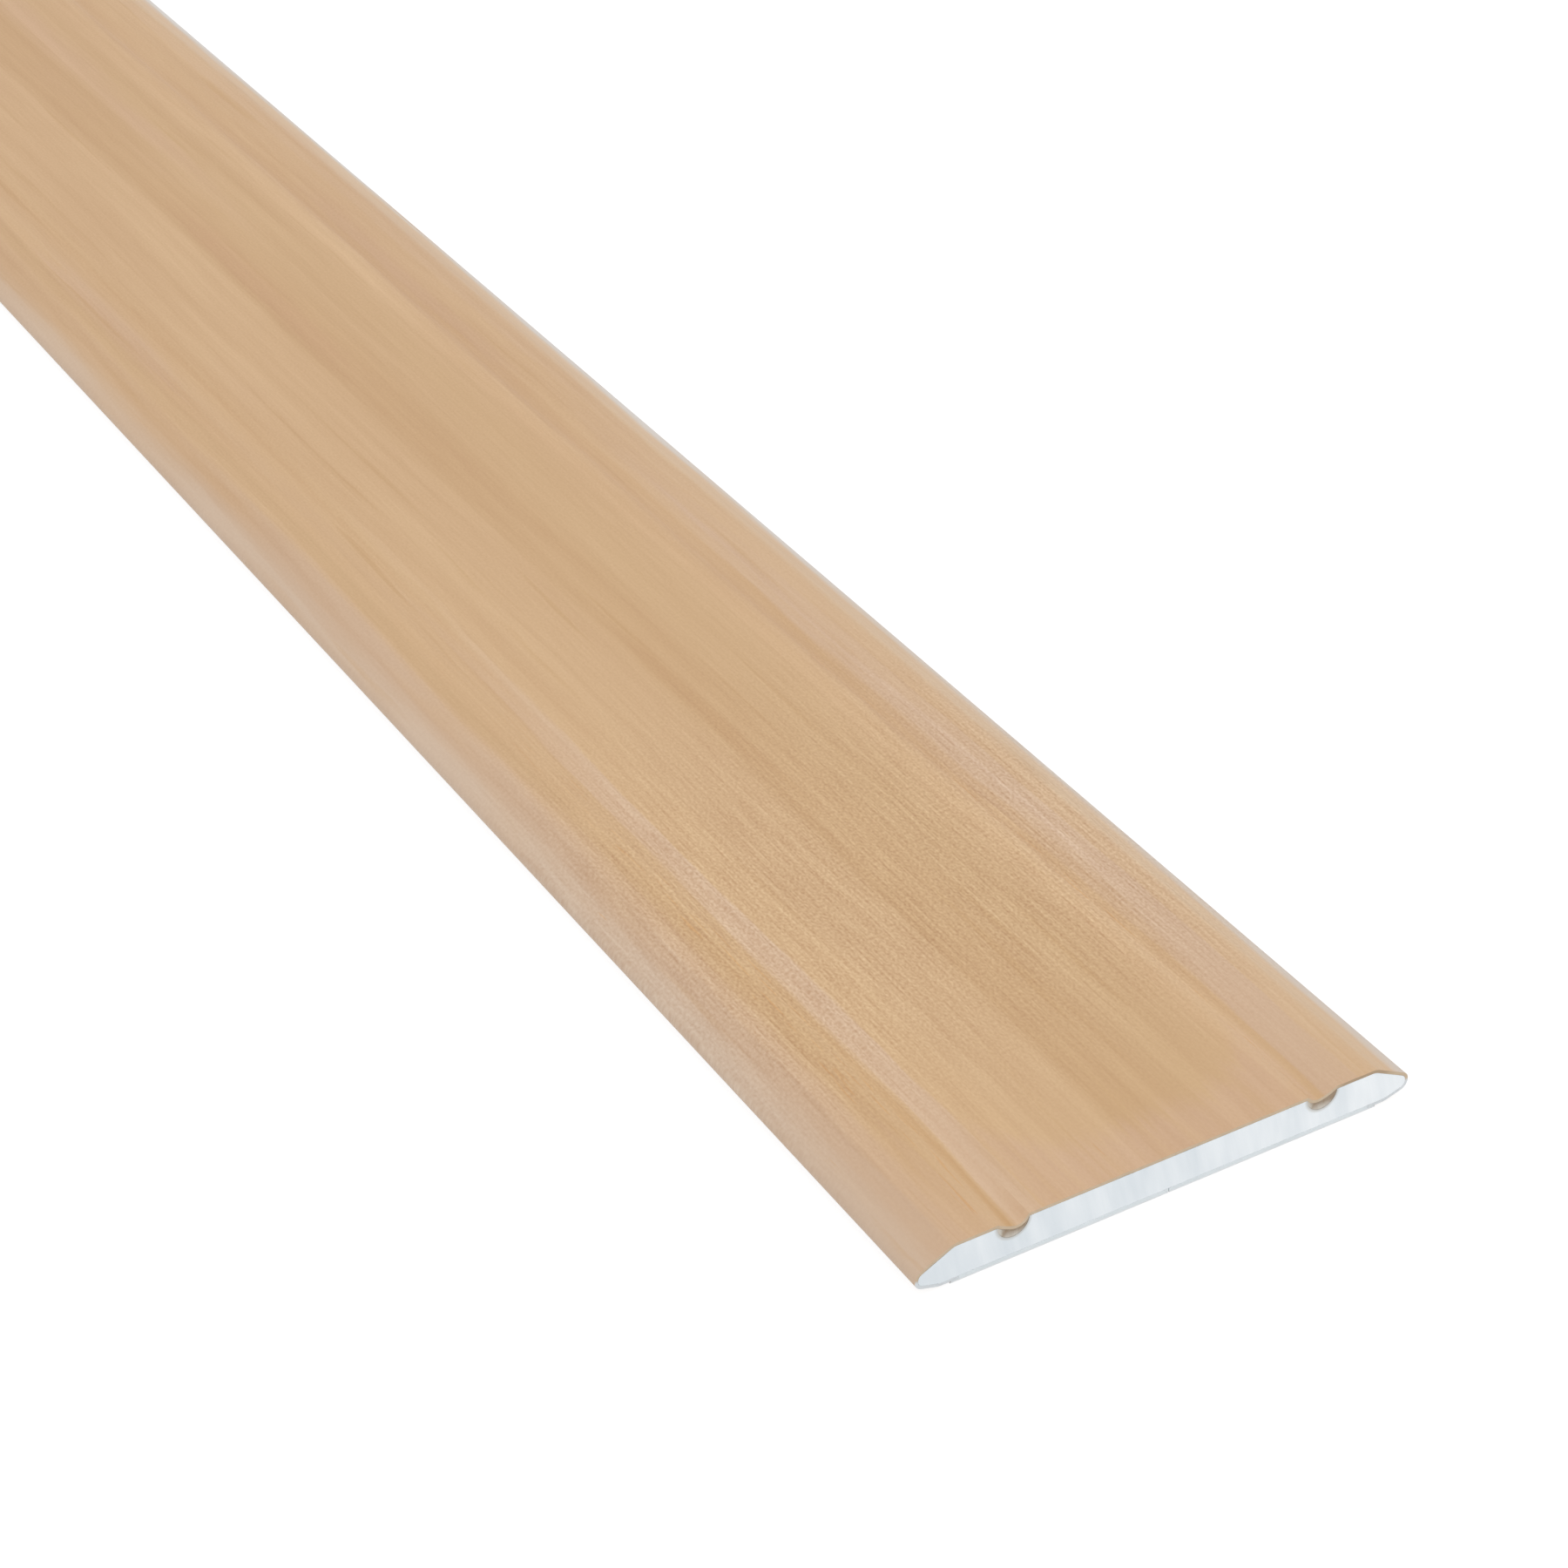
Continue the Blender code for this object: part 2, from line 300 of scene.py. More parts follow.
# The camera: its place beside the end in view, and where it points
LENS_MM = 85.5
SENSOR_MM = 36.0
CAMERA_CLIP = 0.01
CAMERA_PAST_END = 147.73 * MM
CAMERA_Y = -118.64 * MM
CAMERA_Z = 162.33 * MM
CAMERA_RIGHT = Vector((0.5156, 0.8568, 0.0))
CAMERA_UP = Vector((-0.4864, 0.2927, 0.8233))

# The studio; a softbox has a name, place, size and power
FLOOR_REACH = 4.0
FLOOR_DROP = 0.02 * MM
FLOOR_WHITE = (0.85, 0.85, 0.85, 1.0)
FLOOR_SHADE = (0.22, 0.22, 0.22, 1.0)
FLOOR_GLOW = 0.875
SKY_COLOUR = (0.98, 0.99, 1.0, 1.0)
SKY_STRENGTH = 0.92
WHITE = (1.0, 1.0, 1.0, 1.0)
SOFTBOXES = [
    ("overhead_softbox", (-0.2, -0.3, 1.6), (2.6, 1.8), 4.0),
    ("rim_softbox", (-0.9, 1.5, 0.45), (2.0, 0.7), 2.0),
]


# ---------------------------------------------------------------- node helpers


class Graph:
    """A material's or the world's node tree, with short calls for the nodes used here."""

    def __init__(self, tree):
        self.tree = tree
        tree.nodes.clear()

    def node(self, kind, settings=None, **inputs):
        made = self.tree.nodes.new(kind)
        for key, value in (settings or {}).items():
            setattr(made, key, value)
        for key, value in inputs.items():
            self.put(made, key.replace("_", " "), value)
        return made

    def put(self, node, key, value):
        socket = node.inputs[int(key) if key.isdigit() else key]
        if isinstance(value, bpy.types.NodeSocket):
            self.tree.links.new(value, socket)
        elif isinstance(value, bpy.types.Node):
            self.tree.links.new(value.outputs[0], socket)
        else:
            socket.default_value = value

    def math(self, operation, a, b=0.0):
        made = self.tree.nodes.new("ShaderNodeMath")
        made.operation = operation
        self.put(made, "0", a)
        self.put(made, "1", b)
        return made.outputs[0]

    def add(self, *terms):
        total = terms[0]
        for term in terms[1:]:
            total = self.math("ADD", total, term)
        return total

    def minus(self, a, b):
        return self.math("SUBTRACT", a, b)

    def times(self, a, b):
        return self.math("MULTIPLY", a, b)

    def distance(self, a, b):
        return self.math("ABSOLUTE", self.minus(a, b))

    def mix(self, factor, a, b):
        made = self.tree.nodes.new("ShaderNodeMix")
        made.data_type = "RGBA"
        for index, value in ((0, factor), (6, a), (7, b)):
            self.put(made, str(index), value)
        return made.outputs[2]

    def range(self, value, low, high, to_low=0.0, to_high=1.0):
        """The value's way from low to high, eased, as the way from to_low to to_high."""
        made = self.tree.nodes.new("ShaderNodeMapRange")
        made.interpolation_type = "SMOOTHSTEP"
        for index, item in enumerate((value, low, high, to_low, to_high)):
            self.put(made, str(index), item)
        return made.outputs[0]

    def vector(self, x, y, z):
        made = self.tree.nodes.new("ShaderNodeCombineXYZ")
        for index, value in enumerate((x, y, z)):
            self.put(made, str(index), value)
        return made.outputs[0]

    def noise(self, place, kind):
        """Noise about zero, from -0.5 to 0.5, with its features a pitch apart on each axis of the place."""
        pitches, seed, detail, roughness = kind
        scaled = [self.times(axis, 1 / pitch) for axis, pitch in zip(place, pitches, strict=True)]
        made = self.tree.nodes.new("ShaderNodeTexNoise")
        self.put(made, "Vector", self.vector(scaled[0], scaled[1], self.add(scaled[2], seed)))
        self.put(made, "Scale", 1.0)
        self.put(made, "Detail", detail)
        self.put(made, "Roughness", roughness)
        return self.minus(made.outputs["Fac"], 0.5)

    def print_noise(self, along, across, kind):
        """One of the print's noises, at a place on the flat print."""
        (pitch_along, pitch_across), *rest = kind
        return self.noise((along, across, 0.0), ((pitch_along, pitch_across, 1.0), *rest))

    def bump(self, height, distance, strength=BUMP_STRENGTH):
        made = self.tree.nodes.new("ShaderNodeBump")
        self.put(made, "Height", height)
        self.put(made, "Distance", distance)
        self.put(made, "Strength", strength)
        return made.outputs[0]

    def place_mm(self):
        """The surface point's x, y and z, in mm."""
        place = self.node("ShaderNodeTexCoord").outputs["Object"]
        in_mm = self.node("ShaderNodeVectorMath", {"operation": "SCALE"}, Vector=place, Scale=1 / MM)
        split = self.node("ShaderNodeSeparateXYZ", Vector=in_mm)
        return split.outputs["X"], split.outputs["Y"], split.outputs["Z"]


def linear(level):
    """A display level from 0 to 255 as the shader's value."""
    level /= 255
    return level / 12.92 if level <= 0.04045 else ((level + 0.055) / 1.055) ** 2.4


def shown(colour):
    """A display colour as the shader's."""
    return (*map(linear, colour), 1.0)


def printed(colour):
    """The print's own colour under the satin surface's veil, from the display colour of both together."""
    return (*((linear(level) - GLOSS_VEIL) / (1 - GLOSS_VEIL) for level in colour), 1.0)


def mottled(g, factor, pair):
    darkest, lightest = pair
    return g.mix(factor, shown(darkest), shown(lightest))


def new_material(name, roughness, ior=1.45, metallic=0.0):
    material = bpy.data.materials.new(name)
    material.use_nodes = True
    g = Graph(material.node_tree)
    shader = g.node("ShaderNodeBsdfPrincipled", Roughness=roughness, IOR=ior, Metallic=metallic)
    g.node("ShaderNodeOutputMaterial", Surface=shader)
    return material, g, shader


# ---------------------------------------------------------------- the wood print


def band(g, place, low, high, soft):
    """1 between low and high, fading over soft at each border."""
    after = g.range(place, low - soft / 2, low + soft / 2)
    before = g.range(place, high - soft / 2, high + soft / 2, 1.0, 0.0)
    return g.times(after, before)


def striped(g, u, run, reach):
    """The ground colour with every stripe laid over it; reach is the run with uneven borders."""
    colour = printed(TAN)
    patches = g.range(g.print_noise(run, u, STRIPE_PATCHES), -0.25, 0.1, 0.6, 1.0)
    for (low, high, soft), tint, (near, far), place in STRIPES:
        inside = g.times(band(g, u, low, high, soft), patches)
        if near != far:
            change = g.range(reach, place - STRIPE_FADE, place + STRIPE_FADE, near, far)
            inside = g.times(inside, change)
        colour = g.mix(inside, colour, printed(tint))
    return colour


def marked(g, colour, u, reach):
    """The colour with the single dark and pale marks of the figure laid over it."""
    for (middle, width), (start, end), tint, strength in MARKS:
        aside = g.distance(u, middle)
        across = g.range(aside, width * MARK_CORE, width * MARK_REACH, strength, 0.0)
        inside = g.times(across, band(g, reach, start, end, MARK_FADE))
        colour = g.mix(inside, colour, printed(tint))
    return colour


def end_ring(g, run, u, fray):
    """1 within the pinkish tint that arches across the strip at its end, between the grooves."""
    aside = g.times(g.distance(u, TINT_MIDDLE), 1 / TINT_HALF_WIDTH)
    arch = g.times(g.math("POWER", aside, 4.0), TINT_ARCH)
    border = g.add(arch, g.times(fray, TINT_FRAY), TINT_DEPTH)
    before = g.range(g.minus(run, border), *TINT_FADE, 1.0, 0.0)
    return g.times(before, g.range(aside, *TINT_SIDES_FADE, 1.0, 0.0))


def ringed(g, colour, run, u, fray):
    # a pinkish tint near the sawn end, arching across between the grooves
    patches = g.range(g.print_noise(run, u, END_TINT_PATCHES), -0.2, 0.1, 0.4, 0.8)
    ring = g.times(end_ring(g, run, u, fray), patches)
    return g.mix(ring, colour, printed(END_TINT))


def fleck_mask(g, run, across):
    """Sparse thin flecks, mostly in the orange-brown stripes beside the grooves, and near the end in view."""
    spots = g.print_noise(run, across, FLECKS)
    near_stripes = [
        g.range(g.distance(across, middle), within, past, 1.0, 0.0) for middle, within, past in FLECK_STRIPES
    ]
    threshold = g.add(0.28, g.times(g.math("MAXIMUM", *near_stripes), -0.17))
    flecks = g.range(g.minus(spots, threshold), 0.0, 0.06)
    return g.times(flecks, g.range(run, *FLECKS_THIN_OUT, 1.0, 0.1))


def streaked(g, colour, run, u, across):
    """The colour with mauve patches further in, and with dark streaks and flecks laid over it."""
    mauve = g.range(g.print_noise(run, u, MAUVE_PATCHES), 0.02, 0.22, 0.0, 0.6)
    colour = g.mix(g.times(g.range(run, *MAUVE_SETS_IN), mauve), colour, printed(MAUVE_COLOUR))
    streaks = g.range(g.print_noise(run, u, STREAKS), 0.12, 0.28, 0.0, 0.5)
    colour = g.mix(streaks, colour, printed(STREAK_COLOUR))
    flecks = g.times(fleck_mask(g, run, across), 0.5)
    return g.mix(flecks, colour, printed(FLECK_COLOUR))


def fine_strength(g, run, girth):
    """How strong the fine figure is, by the distance from the sawn end and from the strip's middle."""
    rising = g.range(run, *FINE_RISES, FINE_AT_END, FINE_CRISP)
    falling = g.range(run, *FINE_FALLS, 1.0, FINE_SOFT / FINE_CRISP)
    returning = g.range(run, *FINE_RETURNS, 0.0, FINE_BEYOND)
    strength = g.math("MAXIMUM", g.times(rising, falling), returning)
    bevel_from, bevel_to = (HALF_WIDTH_MM - inset for inset in BEVEL_FROM_EDGE)
    aside = g.math("ABSOLUTE", girth)
    return g.times(strength, g.range(aside, bevel_from, bevel_to, 1.0, FINE_ON_BEVELS))


def fine_figure(g, run, u, across, girth):
    fibres = g.times(g.print_noise(run, u, FIBRES), FIBRE_TONE)
    hairs = g.times(g.print_noise(run, across, HAIRS), HAIR_TONE)
    grain = g.times(g.print_noise(run, across, GRAIN), GRAIN_TONE)
    return g.times(g.add(fibres, hairs, grain), fine_strength(g, run, girth))


def print_material():
    """Light beech print: tan with orange-brown and pinkish stripes along it, fine fibres, a satin emboss;
    some stripes carry painted shade and painted sheen on the grooves' dips and the rear bevel, and a pinkish
    tint arches across the sawn end.
    """
    material, g, shader = new_material("woodgrain_print", 0.5, 1.48)
    girth = g.node("ShaderNodeAttribute", {"attribute_name": "girth_mm"}).outputs["Fac"]
    x, _, _ = g.place_mm()
    run = g.minus(END_X / MM, x)
    across = g.add(girth, HALF_WIDTH_MM)
    fray = g.print_noise(run, across, FRAY)
    wander = g.times(g.print_noise(run, across, WANDER), WANDER_REACH)
    u = g.add(across, wander, fray)

    stripe_ends = g.times(g.print_noise(run, across, STRIPE_ENDS), STRIPE_END_REACH)
    mark_ends = g.times(g.print_noise(run, across, MARK_ENDS), MARK_END_REACH)
    colour = striped(g, u, run, g.add(run, stripe_ends))
    colour = marked(g, colour, u, g.add(run, mark_ends))
    colour = ringed(g, colour, run, u, fray)
    colour = streaked(g, colour, run, u, across)

    broad = g.times(g.print_noise(run, u, BROAD), g.range(run, *BROAD_GROWS, *BROAD_TONE))
    strands = g.times(g.print_noise(run, u, STRANDS), g.range(run, *STRANDS_FADE, *STRAND_TONE))
    fine = fine_figure(g, run, u, across, girth)
    tone = g.add(broad, strands, fine, g.range(run, *GROUND_DARKENS, *GROUND_TONE))
    toned = g.node("ShaderNodeVectorMath", {"operation": "MULTIPLY"})
    g.put(toned, "0", colour)
    g.put(toned, "1", g.vector(*[g.add(1.0, g.times(tone, share)) for share in TONE_OF_RED_GREEN_BLUE]))
    g.put(shader, "Base Color", toned)
    g.put(shader, "Normal", g.bump(fine, EMBOSS_DEPTH))
    return material


# ---------------------------------------------------------------- the other materials


def core_material():
    """The foil's cut edge and back: cream film, darkened by painted shade along the top of its cut edge
    towards the rear bevel, wiped with metal underneath.
    """
    material, g, shader = new_material("foil_core", 0.65)
    x, y, z = g.place_mm()
    cloud = g.add(g.noise((x, y, z), FILM_CLOUD), 0.5)
    cream = mottled(g, cloud, FOIL_CREAM)
    # painted shade: the foil's cut edge darker brown towards the rear bevel, near its top
    edge_shade = g.times(g.range(y, *EDGE_SHADE_ACROSS), g.range(z, *EDGE_SHADE_UP, 0.0, 0.5))
    cream = g.mix(edge_shade, cream, shown(FOIL_EDGE_SHADE))
    wiped = mottled(g, cloud, FOIL_WIPED)
    g.put(shader, "Base Color", g.mix(g.range(z, *WIPED_BELOW), cream, wiped))
    return material


def beside_groove(g, y):
    """How far a point lies to the rear of the nearer groove's middle, in mm."""
    return g.minus(y, g.times(g.math("SIGN", y), GROOVE_MIDDLE / MM))


def groove_smear(g, y, z):
    """1 at a groove's edge, falling to 0 a little way into the metal round it."""
    centre, radius = groove_circle()
    aside = beside_groove(g, y)
    above = g.minus(z, centre.y / MM)
    away = g.math("SQRT", g.add(g.times(aside, aside), g.times(above, above)))
    return g.range(away, radius / MM, radius / MM + SMEAR_REACH_MM, 1.0, 0.0)


def bar_material():
    """Bare aluminium: saw-marked, hazy end faces; die lines along the rest."""
    material, g, shader = new_material("sawn_aluminium", 0.5, 1.45, 1.0)
    x, y, z = g.place_mm()
    lean = g.add(y, g.times(z, SAW_LEAN))
    patches = g.noise((lean, z, 0.0), SAW_PATCHES)
    scores = g.noise((lean, z, 0.0), SAW_MARKS)
    die_lines = g.noise((x, y, 0.0), DIE_LINES)
    handling = g.noise((x, y, z), HANDLING)
    on_end = g.math("GREATER_THAN", g.math("ABSOLUTE", x), END_X / MM - END_FACE_MM)
    haze = g.add(HAZE, g.times(y, HAZE_PER_MM), g.times(patches, 1.2), g.times(scores, 0.3))
    cut = g.mix(g.times(groove_smear(g, y, z), 0.6), mottled(g, haze, CUT_METAL), shown(GLUE_ON_METAL))
    drawn = mottled(g, g.add(0.5, handling, die_lines), DRAWN_METAL)
    g.put(shader, "Base Color", g.mix(on_end, drawn, cut))
    rough = g.add(0.47, g.times(scores, 0.15), g.times(handling, 0.12))
    g.put(shader, "Roughness", g.add(rough, g.times(on_end, 0.12)))
    relief = g.add(g.times(die_lines, g.minus(1.0, on_end)), g.times(scores, on_end))
    g.put(shader, "Normal", g.bump(relief, METAL_RELIEF))
    return material


def glue_material():
    """Brown hot-melt glue, darkest towards the foil, lighter and greyer further down and on its front side.
    """
    material, g, shader = new_material("groove_glue", 0.6)
    x, y, z = g.place_mm()
    cloud = g.times(g.noise((x, y, z), GLUE_CLOUD), 0.9)
    # darker towards the foil above, lighter and greyer lower down and towards the front
    below = g.range(z, *(BAR_HIGH.z / MM - depth for depth in GLUE_LIGHTER_BELOW))
    beside = g.range(beside_groove(g, y), *GLUE_LIGHTER_BESIDE, 1.3, 0.0)
    lightening = g.math("MAXIMUM", below, beside)
    g.put(shader, "Base Color", mottled(g, g.add(lightening, cloud), GLUE))
    g.put(shader, "Normal", g.bump(g.noise((x, y, z), GLUE_LUMPS), GLUE_RELIEF, 0.6))
    return material


def tape_material():
    """Clear acrylic adhesive on a thin film, milky where it is pressed against the metal."""
    material, g, shader = new_material("tape_adhesive", 0.32, 1.47)
    x, y, z = g.place_mm()
    wetting = g.add(0.5, g.times(g.noise((x, y, z), TAPE_WETTING), 1.4))
    g.put(shader, "Base Color", mottled(g, wetting, TAPE))
    g.put(shader, "Normal", g.bump(g.noise((x, y, z), TAPE_RIPPLES), TAPE_RELIEF, 0.4))
    return material


def liner_material():
    """Siliconised release paper: off-white, faintly mottled, with soft creases across it."""
    material, g, shader = new_material("release_paper", 0.42)
    x, y, z = g.place_mm()
    mottle = g.add(0.5, g.times(g.noise((x, y, z), PAPER_MOTTLE), 1.2))
    g.put(shader, "Base Color", mottled(g, mottle, LINER))
    felt = g.noise((x, y, z), PAPER_FELT)
    creases = g.range(g.noise((x, y, z), PAPER_CREASES), 0.18, 0.26)
    g.put(shader, "Normal", g.bump(g.add(g.times(felt, 0.5), creases), PAPER_RELIEF))
    return material


# ---------------------------------------------------------------- outlines across the strip


def round_corner(before, corner, after, radius, step):
    """Points of the arc that rounds the corner between two straight stretches of an outline."""
    before, corner, after = Vector(before), Vector(corner), Vector(after)
    back = (before - corner).normalized()
    ahead = (after - corner).normalized()
    half_angle = back.angle(ahead) / 2
    room = ARC_SHARE * min((before - corner).length, (after - corner).length)
    radius = min(radius, room * math.tan(half_angle))
    centre = corner + (back + ahead).normalized() * radius / math.sin(half_angle)
    spoke = corner + back * radius / math.tan(half_angle) - centre
    turn = math.copysign(math.pi - 2 * half_angle, ahead.cross(back))
    steps = max(2, math.ceil(abs(turn) / step))
    return [centre + Matrix.Rotation(turn * index / steps, 2) @ spoke for index in range(steps + 1)]


def edge_corners(offset):
    """One long edge's corners, from below to the top face, offset outside the bar: (across, up, radius)."""
    bottom = BAR_LOW.z - offset
    nose = BAR_HIGH.y + offset
    top = BAR_HIGH.z + offset
    bevel_drop = BAR_HIGH.z - BAR_LOW.z - NOSE_HEIGHT - UNDERCUT_RISE
    undercut_slope = UNDERCUT_RISE / UNDERCUT_WIDTH
    bevel_slope = bevel_drop / BEVEL_WIDTH
    nose_low = BAR_LOW.z + UNDERCUT_RISE + offset * (undercut_slope - math.hypot(1, undercut_slope))
    nose_high = BAR_HIGH.z - bevel_drop - offset * (bevel_slope - math.hypot(1, bevel_slope))
    return [
        (nose - (nose_low - bottom) / undercut_slope, bottom, HEEL_RADIUS + offset),
        (nose, nose_low, NOSE_RADIUS + offset),
        (nose, nose_high, NOSE_RADIUS + offset),
        (nose - (top - nose_high) / bevel_slope, top, CROWN_RADIUS + offset),
    ]


def subdivided(path, longest):
    """The path with points added on stretches longer than longest."""
    result = [path[0]]
    for before, after in zip(path, path[1:]):
        pieces = max(1, math.ceil((after - before).length / longest))
        result += [before.lerp(after, index / pieces) for index in range(1, pieces + 1)]
    return result


def sag(share, dip):
    """How far the foil hangs into a groove at share, from -1 (inner lip) to 1 (outer lip)."""
    return dip * max(0.0, 1 - share**2) ** DIP_ROUNDNESS * (1 - DIP_SKEW * share)


def foil_half(dip):
    """The foil's inner face on the +Y side, from its edge underneath to the middle of the top."""
    corners = edge_corners(FOIL_GAP)
    edge = Vector((BAR_HIGH.y - UNDERCUT_WIDTH - FOIL_LAP, BAR_LOW.z - FOIL_GAP))
    top = BAR_HIGH.z + FOIL_GAP
    outer_lip = Vector((GROOVE_MIDDLE + GROOVE_WIDTH / 2, top))
    stops = [edge, *[Vector(corner[:2]) for corner in corners], outer_lip]
    path = [edge]
    for index, corner in enumerate(corners):
        path += round_corner(stops[index], corner[:2], stops[index + 2], corner[2], CORNER_STEP)
    for step in range(DIP_STEPS + 1):
        share = 1 - 2 * step / DIP_STEPS
        path.append(Vector((GROOVE_MIDDLE + share * GROOVE_WIDTH / 2, top - sag(share, dip))))
    path.append(Vector((0.0, top)))
    return subdivided(path, FLAT_STEP)


def half_girths(half):
    """Each point's distance from the middle: straight across on top and, past the nose, round and under."""
    nose = max(range(len(half)), key=lambda index: half[index].x)
    under = [0.0]
    for before, after in zip(half[nose::-1], half[nose - 1 :: -1]):
        under.append(under[-1] + (after - before).length)
    return [half[nose].x + length for length in reversed(under[1:])] + [point.x for point in half[nose:]]


def offset_path(path, distance):
    """The path moved to its right by distance, point by point."""
    moved = []
    for index, point in enumerate(path):
        run = (path[min(index + 1, len(path) - 1)] - path[max(index - 1, 0)]).normalized()
        moved.append(point + Vector((run.y, -run.x)) * distance)
    return moved


def groove_circle():
    """The middle and radius of the rear groove's round floor."""
    half = GROOVE_WIDTH / 2
    radius = (half**2 + GROOVE_DEPTH**2) / (2 * GROOVE_DEPTH)
    return Vector((GROOVE_MIDDLE, BAR_HIGH.z - GROOVE_DEPTH + radius)), radius


def groove_floor(clearance):
    """The rear groove's arc, from its inner lip to its outer one, held off the metal by clearance."""
    centre, radius = groove_circle()
    lip_angle = math.asin((BAR_HIGH.z - centre.y) / radius)
    spoke = radius - clearance
    sweep = math.pi + 2 * lip_angle
    angles = [math.pi - lip_angle + sweep * step / GROOVE_STEPS for step in range(GROOVE_STEPS + 1)]
    return [centre + spoke * Vector((math.cos(angle), math.sin(angle))) for angle in angles]


def on_side(side, outline):
    """An outline of the rear half, for the side that it is on."""
    return [Vector((-point.x, point.y)) for point in reversed(outline)] if side == "front" else outline


# ---------------------------------------------------------------- lengths along the strip


def dip_at(x, side):
    """How deep the foil dips into a groove, deepest at the sawn ends."""
    from_end = END_X - abs(x)
    settled = DIP_INSIDE + (DIP_AT_END[side] - DIP_INSIDE) * math.exp(-from_end / DIP_SETTLES)
    return settled * (1 + DIP_RIPPLE * noise.noise((x / DIP_RIPPLE_PITCH, 0.0, 4.0)))


def stations(end=END_X):
    """Places along the strip where a piece has a section: close together near its sawn ends."""
    near = [step * MM for step in STEPS_NEAR_END_MM]
    steps = int((end - near[-1]) // LENGTH_STEP)
    distances = near + [near[-1] + LENGTH_STEP * step for step in range(1, steps)]
    right = [end - distance for distance in distances]
    return [-x for x in right] + [0.0] + right[::-1]


# ---------------------------------------------------------------- pieces


def add_piece(name, mesh, slot, *nodes):
    """The mesh as a piece that rides with the strip and stands for the named solids."""
    mesh.shade_smooth()
    mesh.set_sharp_from_angle(angle=CREASE_ANGLE)
    piece = bpy.data.objects.new(name, mesh)
    bpy.context.scene.collection.objects.link(piece)
    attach(piece, "root")
    if nodes:
        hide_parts(*nodes)


def wall_faces(rings, count):
    """Quads between neighbouring rings of count points, each with its step round the ring."""
    for ring in range(rings - 1):
        here, there = ring * count, (ring + 1) * count
        for step in range(count):
            after = (step + 1) % count
            yield (here + step, here + after, there + after, there + step), step


def lofted(name, rings, material):
    """A closed mesh through rings of points, each ring turning from +Y to +Z seen from the +X end."""
    count = len(rings[0])
    last = (len(rings) - 1) * count
    faces = [face for face, _ in wall_faces(len(rings), count)]
    faces.append(tuple(range(count))[::-1])
    faces.append(tuple(last + step for step in range(count)))
    mesh = bpy.data.meshes.new(name)
    mesh.from_pydata([point for ring in rings for point in ring], [], faces)
    mesh.materials.append(material)
    return mesh


def frayed_x(x, girth):
    """The station, drawn in here and there along a sawn edge."""
    if abs(x) < END_X:
        return x
    bite = END_FRAY * max(0.0, noise.noise((girth / END_FRAY_PITCH, x, 2.0)))
    return math.copysign(END_X - bite, x)


def foil_ring(x):
    """The foil's section at x as (points, girths): along the outer face to the front, and back inside."""
    rear = foil_half(dip_at(x, "rear"))
    front = foil_half(dip_at(x, "front"))
    inner = rear + on_side("front", front[:-1])
    outer = offset_path(inner, FOIL_THICKNESS)
    girths = half_girths(rear)
    girths += [-girth for girth in reversed(girths[:-1])]
    girths += girths[::-1]
    around = zip(outer + inner[::-1], girths, strict=True)
    return [(frayed_x(x, girth), point.x, point.y) for point, girth in around], girths


def strip_faces(rings, count):
    """Quads of a thin wrap with count points on each face, and whether each is on its back or cut edge."""
    ring = 2 * count
    faces, is_core = [], []
    for face, step in wall_faces(rings, ring):
        faces.append(face)
        is_core.append(step >= count - 1)
    last = (rings - 1) * ring
    for step in range(count - 1):
        facing = ring - 1 - step
        faces.append((step + 1, step, facing, facing - 1))
        faces.append((last + step, last + step + 1, last + facing - 1, last + facing))
        is_core += [True, True]
    return faces, is_core


def build_foil():
    """The foil as one closed wrap, the print on its outer face and the core on the rest."""
    rings = [foil_ring(x) for x in stations()]
    faces, is_core = strip_faces(len(rings), len(rings[0][0]) // 2)
    mesh = bpy.data.meshes.new("foil_wrap")
    mesh.from_pydata([point for points, _ in rings for point in points], [], faces)
    mesh.materials.append(print_material())
    mesh.materials.append(core_material())
    mesh.polygons.foreach_set("material_index", is_core)
    girths = [girth / MM for _, around in rings for girth in around]
    mesh.attributes.new("girth_mm", "FLOAT", "POINT").data.foreach_set("value", girths)
    add_piece("foil_wrap", mesh, "decor_foil", "woodgrain_foil")


def glue_ring(x, side):
    """The glue's outline in one groove: along the metal, then back under the foil."""
    top = BAR_HIGH.z - GLUE_CLEARANCE
    roof = []
    for step in range(1, GROOVE_STEPS):
        share = 1 - 2 * step / GROOVE_STEPS
        height = top - sag(share, dip_at(x, side))
        roof.append(Vector((GROOVE_MIDDLE + share * GROOVE_WIDTH / 2, height)))
    outline = on_side(side, groove_floor(GLUE_CLEARANCE) + roof)
    return [(x, point.x, point.y) for point in outline]


def hollow_caps(mesh):
    """Gives each end face a centre that lies deeper than its rim."""
    caps = [tuple(face.vertices) for face in mesh.polygons if len(face.vertices) > 4]
    faces = [tuple(face.vertices) for face in mesh.polygons if len(face.vertices) <= 4]
    points = [vertex.co.copy() for vertex in mesh.vertices]
    for cap in caps:
        rim = [points[index] for index in cap]
        middle = sum(rim, Vector()) / len(rim)
        middle.z = (middle.z + min(point.z for point in rim)) / 2
        middle.x -= math.copysign(GLUE_MENISCUS, middle.x)
        faces += [(cap[index], cap[(index + 1) % len(cap)], len(points)) for index in range(len(cap))]
        points.append(middle)
    mesh.clear_geometry()
    mesh.from_pydata(points, [], faces)


def build_glue(side, material):
    """The glue in one groove, its two ends hollowed by a meniscus."""
    name = f"groove_glue_{side}"
    mesh = lofted(name, [glue_ring(x, side) for x in stations(END_X - GLUE_SET_BACK)], material)
    hollow_caps(mesh)
    add_piece(name, mesh, "tape_adhesive")


